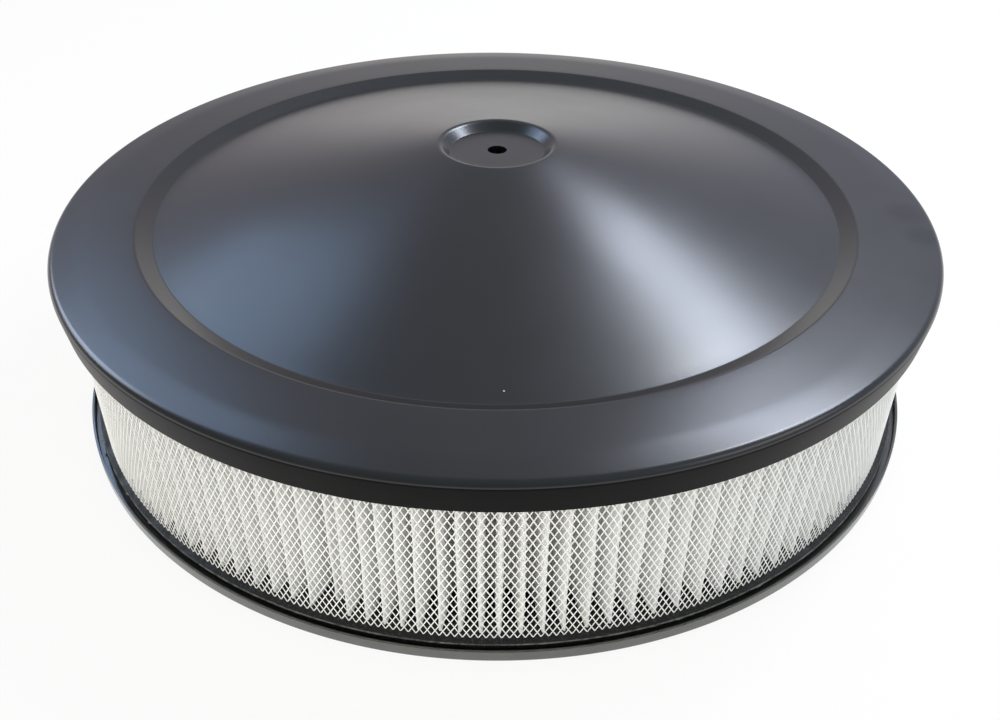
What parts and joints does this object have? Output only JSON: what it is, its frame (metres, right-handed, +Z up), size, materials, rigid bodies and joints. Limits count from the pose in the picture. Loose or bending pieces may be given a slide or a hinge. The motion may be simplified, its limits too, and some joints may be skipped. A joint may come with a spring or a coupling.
{
  "type": "carburetor air cleaner",
  "caption": "Round black air cleaner for a carburettor: pressed lid and pan that clamp a white pleated element behind a diamond screen.",
  "frame": {"origin": "on the axis, at the height of the pan's underside rim, which is the surface that the part rests on", "axes": "+Z up along the axis from the pan to the lid's stud hole; X and Y are any two directions across it"},
  "size_m": [0.3554, 0.3554, 0.1002],
  "materials": {
    "lid_coat": "satin black powder coat on pressed steel",
    "pan_coat": "satin dark grey powder coat on pressed steel",
    "filter_paper": "matt white pleated filter paper",
    "screen_coat": "white coated expanded metal",
    "cap_rubber": "moulded black urethane",
    "gasket_fibre": "pressed cork and rubber sheet"
  },
  "bodies": {
    "root": {"top_cover": "lid_coat", "base_pan": "pan_coat", "pleated_paper": "filter_paper", "outer_screen": "screen_coat", "inner_screen": "screen_coat", "top_end_cap": "cap_rubber", "bottom_end_cap": "cap_rubber", "neck_gasket": "gasket_fibre"}
  },
  "joints": []
}
